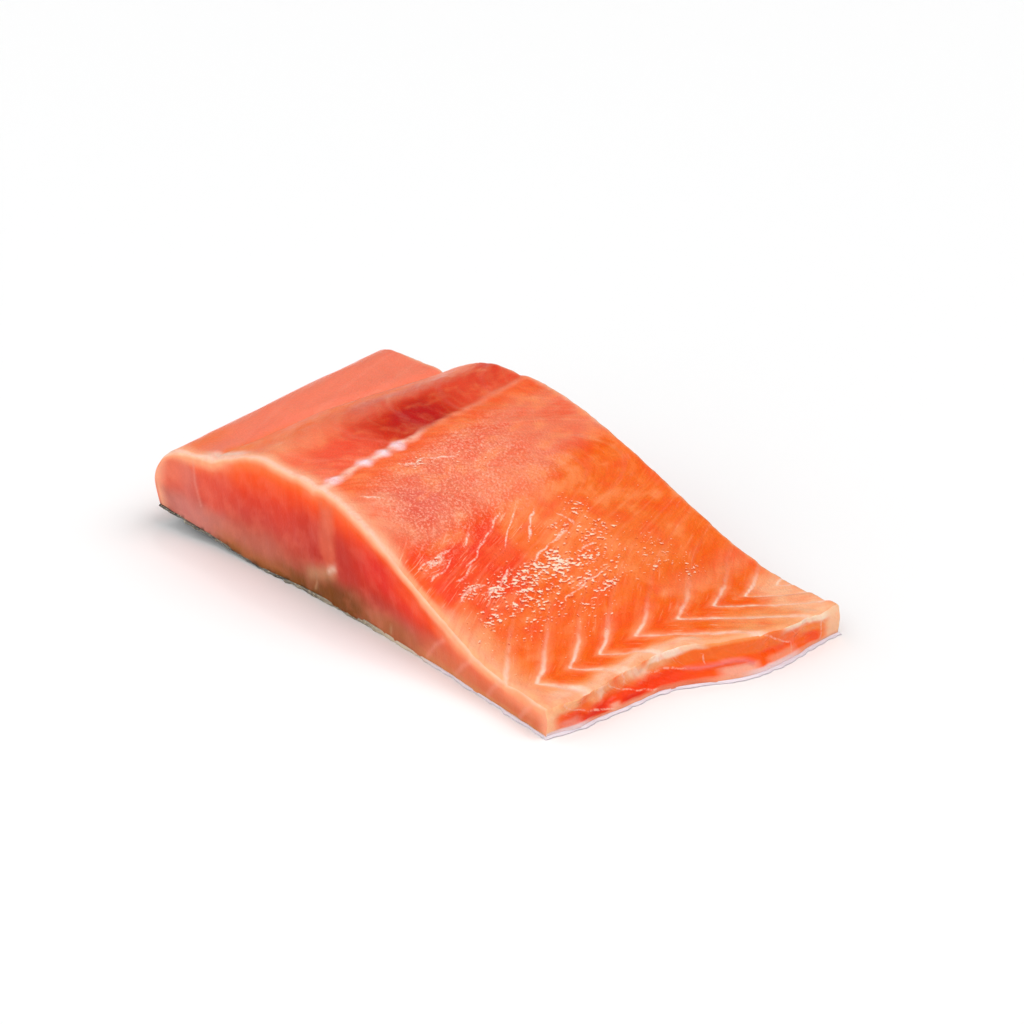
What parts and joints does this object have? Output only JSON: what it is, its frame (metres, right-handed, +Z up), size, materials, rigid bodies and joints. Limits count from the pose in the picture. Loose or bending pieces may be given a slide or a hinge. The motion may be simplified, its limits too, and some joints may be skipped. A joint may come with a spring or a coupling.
{
  "type": "raw salmon fillet",
  "caption": "Thick slab of raw salmon fillet on its skin, flesh side up, with a flat back strip, a high loin and a thin belly flap between two square cuts.",
  "frame": {"origin": "centre of the bounding box's base, on the surface that the fillet lies on", "axes": "+X across the fish from the back edge to the belly edge, +Y along the fish from the near cut to the far cut, +Z up, out of the flesh side"},
  "size_m": [0.1936, 0.0934, 0.0356],
  "materials": {
    "raw_salmon": "moist raw orange-pink flesh with white seams, satin to glossy, over silver-grey scaled skin",
    "salmon_skin": "wet scaled fish skin, dark silver-grey at the back edge to silver-white at the belly"
  },
  "bodies": {
    "root": {"salmon_fillet": "raw_salmon"}
  },
  "joints": []
}
